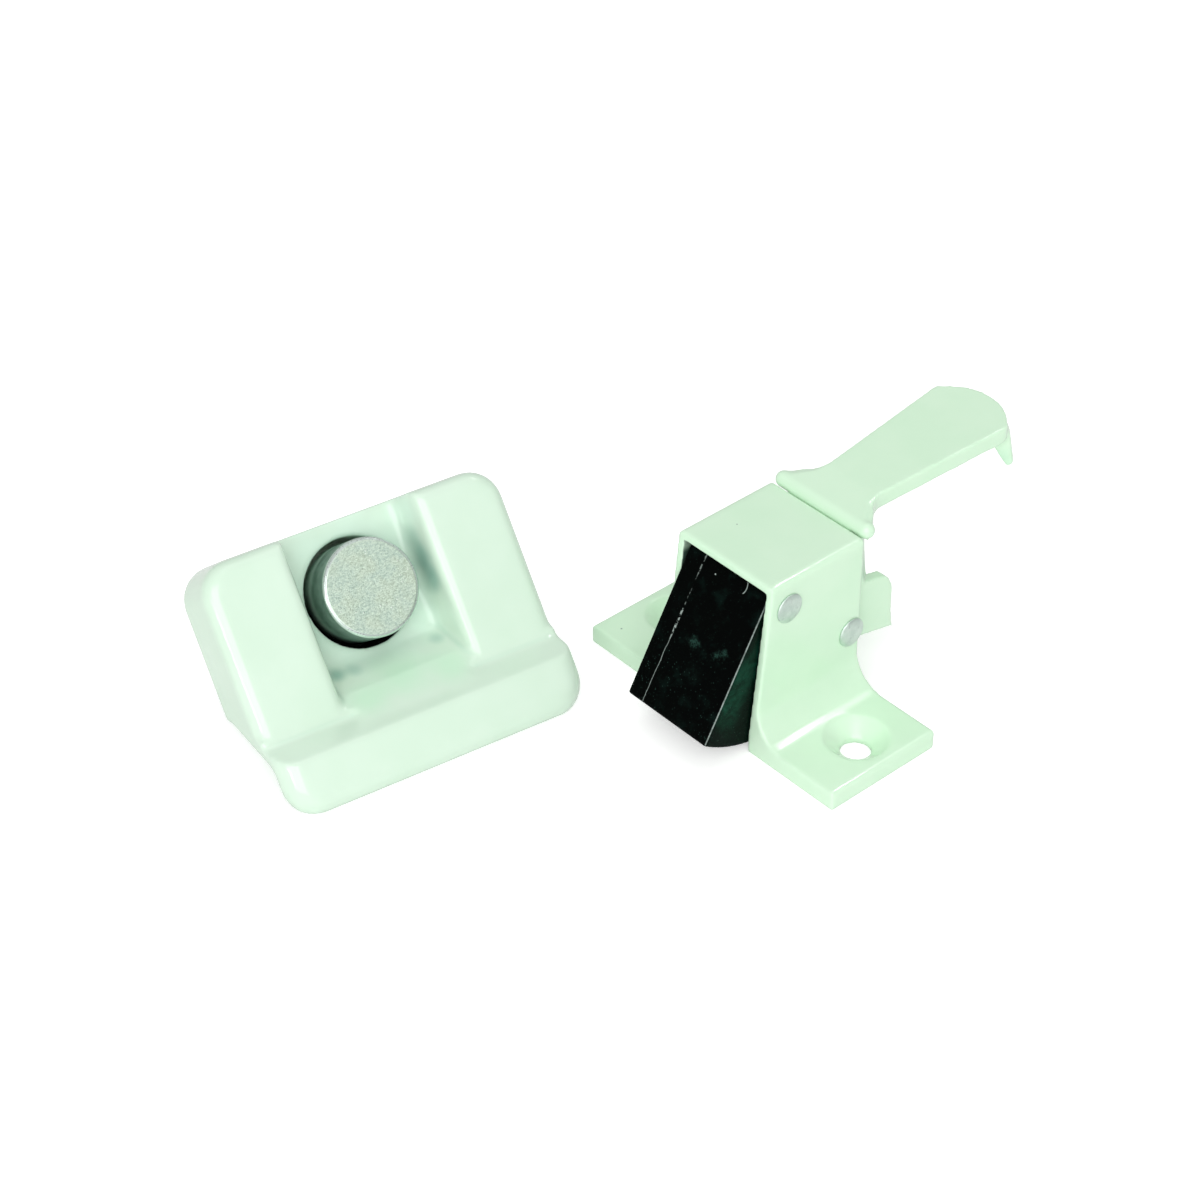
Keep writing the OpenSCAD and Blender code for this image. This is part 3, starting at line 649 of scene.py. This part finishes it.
# Painted light and shade on the outer half, in mm along, up and out, then reach, strength and tone: painted light round
# the button, painted bounce light on the ramp, painted shade on the recess walls and ramp corners
outer_painted_light_and_shade = [(9.8 * math.cos(a), 9.8 * math.sin(a) - 1, 3.6, 6.5, 0.85, MINT_RECESS_PAINTED_LIGHT)
                for a in np.radians(range(0, 360, 40))]
outer_painted_light_and_shade += [
    (11.6, 9.5, 7.5, 4.5, 0.80, MINT_RECESS_PAINTED_LIGHT),
    (0, -15.2, 9.5, 6.5, 0.45, MINT_PAINTED_BOUNCE_LIGHT),
    (-7.5, -16.5, 11.5, 5.0, 0.40, MINT_PAINTED_BOUNCE_LIGHT),
    (7.5, -16.5, 11.5, 5.0, 0.40, MINT_PAINTED_BOUNCE_LIGHT),
    (12.0, 4.6, 7.0, 3.2, 0.40, MINT_SHADE),
    (12.0, 1.2, 7.6, 3.6, 0.60, MINT_SHADE),
    (11.8, -2.2, 8.0, 3.3, 0.50, MINT_SHADE),
    (9.2, -11.8, 6.4, 1.9, 0.30, MINT_SHADE),
    (-9.2, -11.6, 6.2, 2.2, 0.50, MINT_SHADE),
    (-6.2, -11.7, 6.4, 1.9, 0.30, MINT_SHADE),
]
barrel_end = extent("outer_housing", OUTER)[0][2]
outer_paint = paint_finish(
    "mint_paint_outer", 0.9, (OUTER_MINT, OUTER_PALE),
    painted_light_and_shade=[(outer_at(along, up, out), (reach * MM,) * 3, strength, tone)
            for along, up, out, reach, strength, tone in outer_painted_light_and_shade],
    bore_shade=(OUTER.translation, OUT, -UP, button_r + BUTTON_GAP, barrel_end, RECESS_FLOOR))
bolt_black = bolt_finish(face_top, face_normal, down_face, bolt_high.x)
rivet_metal = rivet_finish()
button_metal = button_finish(OUTER.translation, OUT, button_high[2], button_r)
stem_metal = steel_finish("stem_metal", (0.60, 0.61, 0.62))
spring_steel = steel_finish("spring_steel", STEEL)

# Castings and bolt

def shape_lever(mesh):
    """Lets the collar's crest flow into the neck, and thickens the root of the turned-down end on its inner side."""
    co = coordinates(mesh)
    x, y, z = co.T / MM
    crest_y, crest_z, neck_y, neck_z = 12.15, 33.45, 18.15, 34.0
    along = (y - crest_y) / (neck_y - crest_y)
    half = np.interp(along, (0, 0.3, 0.6, 1), (8.8, 7.4, 6.2, 5.6))
    level = crest_z + (neck_z - crest_z) * along
    upper = (directions(mesh)[:, 2] > 0.4) & (along > -0.02) & (along < 1) & (abs(x) < half)
    co[upper, 2] = np.maximum(z, level)[upper] * MM

    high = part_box("lever")[1] / MM
    middle_y = high.y - TIP_FLARE - TIP_R
    from_centre = np.hypot(x, y - middle_y).clip(1e-6)
    drop = high.z - z
    outer_face = np.interp(drop, (1.4, 2.8, 8.2), (-0.1, 0.64, TIP_FLARE))
    inner_face = np.interp(drop, (1.4, 8.0, 8.6), (-2.6, 0.1, 0.6))
    inward = TIP_R + outer_face - from_centre
    thick = outer_face - inner_face
    share = (inward / thick).clip(0, 1) * (1 - (inward - thick) / 1.2).clip(0, 1)
    shift = np.interp(drop, (2.4, 3.4, 5.0, 8.0), (0, 1.1, 0.95, 0.2)) * share * (y > high.y - 9)
    co[:, 1] -= shift * MM
    mesh.vertices.foreach_set("co", co.ravel())
    mesh.update()


def shape_housing(mesh):
    """Fills the step where the recess ramp meets the foot of the lip, so that they run on as one slope."""
    co = coordinates(mesh)
    along, up, out = ((co - OUTER.translation) @ np.array((ALONG, UP, OUT)).T / MM).T
    facing_out = directions(mesh) @ np.array(OUT) > 0.3
    level = np.interp(up, (-19.9, -14.2), (15.2, 9.6))
    near = facing_out & (up > -19.9) & (up < -14.2) & (abs(along) < 11.4)
    lift = (level - out).clip(-0.6, 1.4) * near * np.interp(abs(along), (9.5, 11.4), (1, 0))
    co += lift[:, None] * np.array(OUT) * MM
    mesh.vertices.foreach_set("co", co.ravel())
    mesh.update()


inner_casting = soft_copy("latch_body", "latch_casting", BODY_VOXEL, 4, 5)
finish_piece(inner_casting, "frame", "latch_body", inner_paint)

own_axes = OUTER.to_3x3().to_4x4().inverted()
outer_casting = soft_copy("outer_housing", "outer_casting", HOUSING_VOXEL, 5, 20, grid=own_axes, reshape=shape_housing)
finish_piece(outer_casting, "frame", "outer_housing", outer_paint)

neck_height = FRONT_PIN.z + 4.2 * MM
lever_casting = soft_copy("lever", "lever_casting", LEVER_VOXEL, 4, 140, neck_height, SKEW_GRID, shape_lever)
finish_piece(lever_casting, "lever", "lever", lever_paint)

finish_piece(soft_copy("bolt", "bolt_wedge", BOLT_VOXEL, 2), "bolt", "bolt", bolt_black)


# Rivets

def rivet(name, node, body):
    low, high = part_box(node)
    middle = Vector(((low.x + high.x) / 2, (low.y + high.y) / 2, (low.z + high.z) / 2))
    half = (high.x - low.x) / 2
    head_r = (high.y - low.y) / 2
    under = half - RIVET_HEAD_H
    crown = [(head_r * math.sin(a), half - (RIVET_HEAD_H - RIVET_RIM) * (1 - math.cos(a)))
             for a in (math.radians(d) for d in range(0, 91, 9))]
    edge = [(head_r, under + 0.12 * MM), (head_r - 0.1 * MM, under)]
    top = crown + edge + [(PIN_SHANK_R, under)]
    profile = top + [(r, -h) for r, h in reversed(top)]
    piece = turned(name, profile, facing(middle, (1, 0, 0)), 72)
    finish_piece(piece, "frame", node, rivet_metal)


rivet("bolt_rivet", "bolt_pin", "frame")
rivet("lever_rivet", "lever_pin", "frame")


# Push button and its stem

def push_button():
    low, high, r = button_low[2], button_high[2], button_r
    bevel = 0.3 * MM
    round_r = 0.2 * MM
    hollow = 0.04 * MM
    face = [(r * t, high - hollow * (1 - t * t)) for t in (0, 0.15, 0.3, 0.45, 0.6, 0.75, 0.88)]
    corner = arc((r - bevel - round_r * 0.4, high - round_r), round_r, 90, 45, 4)
    corner += arc((r - round_r, high - bevel - round_r * 0.4), round_r, 45, 0, 4)
    back = [(r, low + bevel), (r - bevel, low), (BUTTON_HOLE_R, low), (BUTTON_HOLE_R, low + BUTTON_HOLE_DEPTH),
            (0, low + BUTTON_HOLE_DEPTH)]
    piece = turned("button_cap", face + corner + back, OUTER, 160)
    finish_piece(piece, "button", "push_button", button_metal)


def stem():
    low, high = (e[2] for e in extent("push_stem", OUTER))
    r = STEM_R
    waist = r - STEM_GROOVE
    clip_low, clip_high = (e[2] for e in extent("stem_clip", OUTER))
    groove_low, groove_high = clip_low - 0.02 * MM, clip_high + 0.02 * MM
    nose = [(r - back * MM, low + rise * MM)
            for back, rise in ((0.66, 0), (0.55, 0.06), (0.3, 0.3), (0.06, 0.55), (0, 0.66))]
    profile = [(0, low), *nose, (r, groove_low), (waist, groove_low), (waist, groove_high), (r, groove_high),
               (r, high - 0.05 * MM), (r - 0.1 * MM, high), (0, high)]
    piece = turned("stem_rod", profile, OUTER, 72)
    finish_piece(piece, "button", "push_stem", stem_metal)


push_button()
stem()
frame["nodes"]["stem_clip"].material_slots[0].material = spring_steel

# Springs

WIRE_TREE, WIRE_SOCKETS = wire_tree()
spring_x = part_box("bolt_spring")[0].x + TORSION_WIRE / 2
torsion_length = TORSION_TURNS * TORSION_WIRE * 1.06


def torsion_spring(name, node, pin, turns, start, legs):
    """A coil of wire round a pin, with its two legs."""
    path = coil(turns, TORSION_MEAN_R, torsion_length, start, legs)
    piece = spring(name, path, Matrix.Translation((spring_x, pin.y, pin.z)), TORSION_WIRE, spring_steel)
    finish_piece(piece, None, node, spring_steel)
    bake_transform(piece)


def lever_spring_legs():
    low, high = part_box("lever_spring")
    return REAR_PIN.z - low.z, high.y - REAR_PIN.y


torsion_spring("bolt_coil", "bolt_spring", FRONT_PIN,
               TORSION_TURNS + (180 - math.degrees(BOLT_LEAN) - ROOF_LEG_ANGLE) / 360, math.radians(ROOF_LEG_ANGLE),
               (BOLT_SPRING_LEG, BOLT_SPRING_LEG))
torsion_spring("lever_coil", "lever_spring", REAR_PIN, TORSION_TURNS + 0.75, 0.0, lever_spring_legs())

seat, seat_end = (e[2] for e in extent("button_spring", OUTER))
button_path = coil(BUTTON_SPRING_TURNS, BUTTON_SPRING_R, seat_end - seat - BUTTON_WIRE, 0.0,
                   (BUTTON_SPRING_LEG, BUTTON_SPRING_LEG))
stand_up = OUTER @ Matrix.Translation((0, 0, seat + BUTTON_WIRE / 2)) @ Matrix.Rotation(-math.pi / 2, 4, "Y")
button_coil = spring("button_coil", button_path, stand_up, BUTTON_WIRE, spring_steel)
finish_piece(button_coil, "button", "button_spring", spring_steel)
OUTER @ Vector((0, 0, seat_end))
1 - BUTTON_TRAVEL / (seat_end - seat)
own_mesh(button_coil)


# Floor, lights and camera

def floor():
    mesh = bpy.data.meshes.new("floor")
    reach = 1.5
    corners = [(-reach, -reach, 0), (reach, -reach, 0), (reach, reach, 0), (-reach, reach, 0)]
    mesh.from_pydata(corners, [], [(0, 1, 2, 3)])
    piece = link("floor", mesh)
    f = Finish("floor_white", Base_Color=(0.92, 0.93, 0.92), Roughness=0.9, Specular_IOR_Level=0.1)
    glow = 0.4 + f.where.length().step(0.2, 0.7) * 0.2
    f.set(Emission_Color=f.light_path("Is Camera Ray") * glow, Emission_Strength=1.0)
    mesh.materials.append(f.material)


def softbox(name, place, aim, size, watts):
    lamp = bpy.data.lights.new(name, "AREA")
    lamp.shape = "RECTANGLE"
    lamp.size, lamp.size_y = size
    lamp.energy = watts
    piece = bpy.data.objects.new(name, lamp)
    piece.location = place
    piece.rotation_euler = (Vector(aim) - Vector(place)).to_track_quat("-Z", "Y").to_euler()
    bpy.context.scene.collection.objects.link(piece)


def surroundings(strength):
    world = bpy.data.worlds.new("light_tent")
    bpy.context.scene.world = world
    world.use_nodes = True
    g = Graph(world.node_tree)
    seen = g.light_path("Is Camera Ray")
    sky = world.node_tree.nodes["Background"]
    g.feed(sky.inputs["Color"], (1.0, 1.0, 1.0))
    g.feed(sky.inputs["Strength"], seen.mix(strength, 1.0))


def camera():
    right = Vector((math.cos(AZIMUTH), math.sin(AZIMUTH), 0))
    flat = math.cos(ELEVATION)
    forward = Vector((-math.sin(AZIMUTH) * flat, math.cos(AZIMUTH) * flat, -math.sin(ELEVATION)))
    up = right.cross(forward)
    level = right * math.cos(ROLL) + up * math.sin(ROLL)
    upright = up * math.cos(ROLL) - right * math.sin(ROLL)
    a = (AIM_PIXEL[0] - FRAME_PX / 2) / FOCAL_PX
    b = (FRAME_PX / 2 - AIM_PIXEL[1]) / FOCAL_PX
    data = bpy.data.cameras.new("photo_camera")
    data.sensor_width = 36
    data.lens = data.sensor_width * FOCAL_PX / FRAME_PX
    data.clip_start = 0.01
    piece = bpy.data.objects.new("photo_camera", data)
    turn = Matrix((level, upright, -forward)).transposed().to_4x4()
    piece.matrix_world = Matrix.Translation(AIM_POINT - CAMERA_DISTANCE * (forward + a * level + b * upright)) @ turn
    bpy.context.scene.collection.objects.link(piece)
    bpy.context.scene.camera = piece


floor()
softbox("beside_camera", (0.66, -0.72, 0.70), (-0.02, -0.02, 0.01), (1.10, 1.10), 8.9)
softbox("overhead", (-0.10, 0.15, 1.20), (0, 0, 0.01), (0.60, 0.60), 1.0)
softbox("low_front", (0.150, -0.740, 0.260), (-0.03, -0.03, 0.01), (0.26, 0.045), 0.36)
softbox("strip", (-0.010, 0.437, 0.680), (0.01, 0, 0.01), (0.30, 0.018), 0.34)
softbox("high_behind", (-0.020, 0.525, 0.680), (0.01, 0, 0.01), (0.15, 0.15), 0.09)
surroundings(0.53)
camera()
bpy.context.scene.view_settings.view_transform = "Standard"
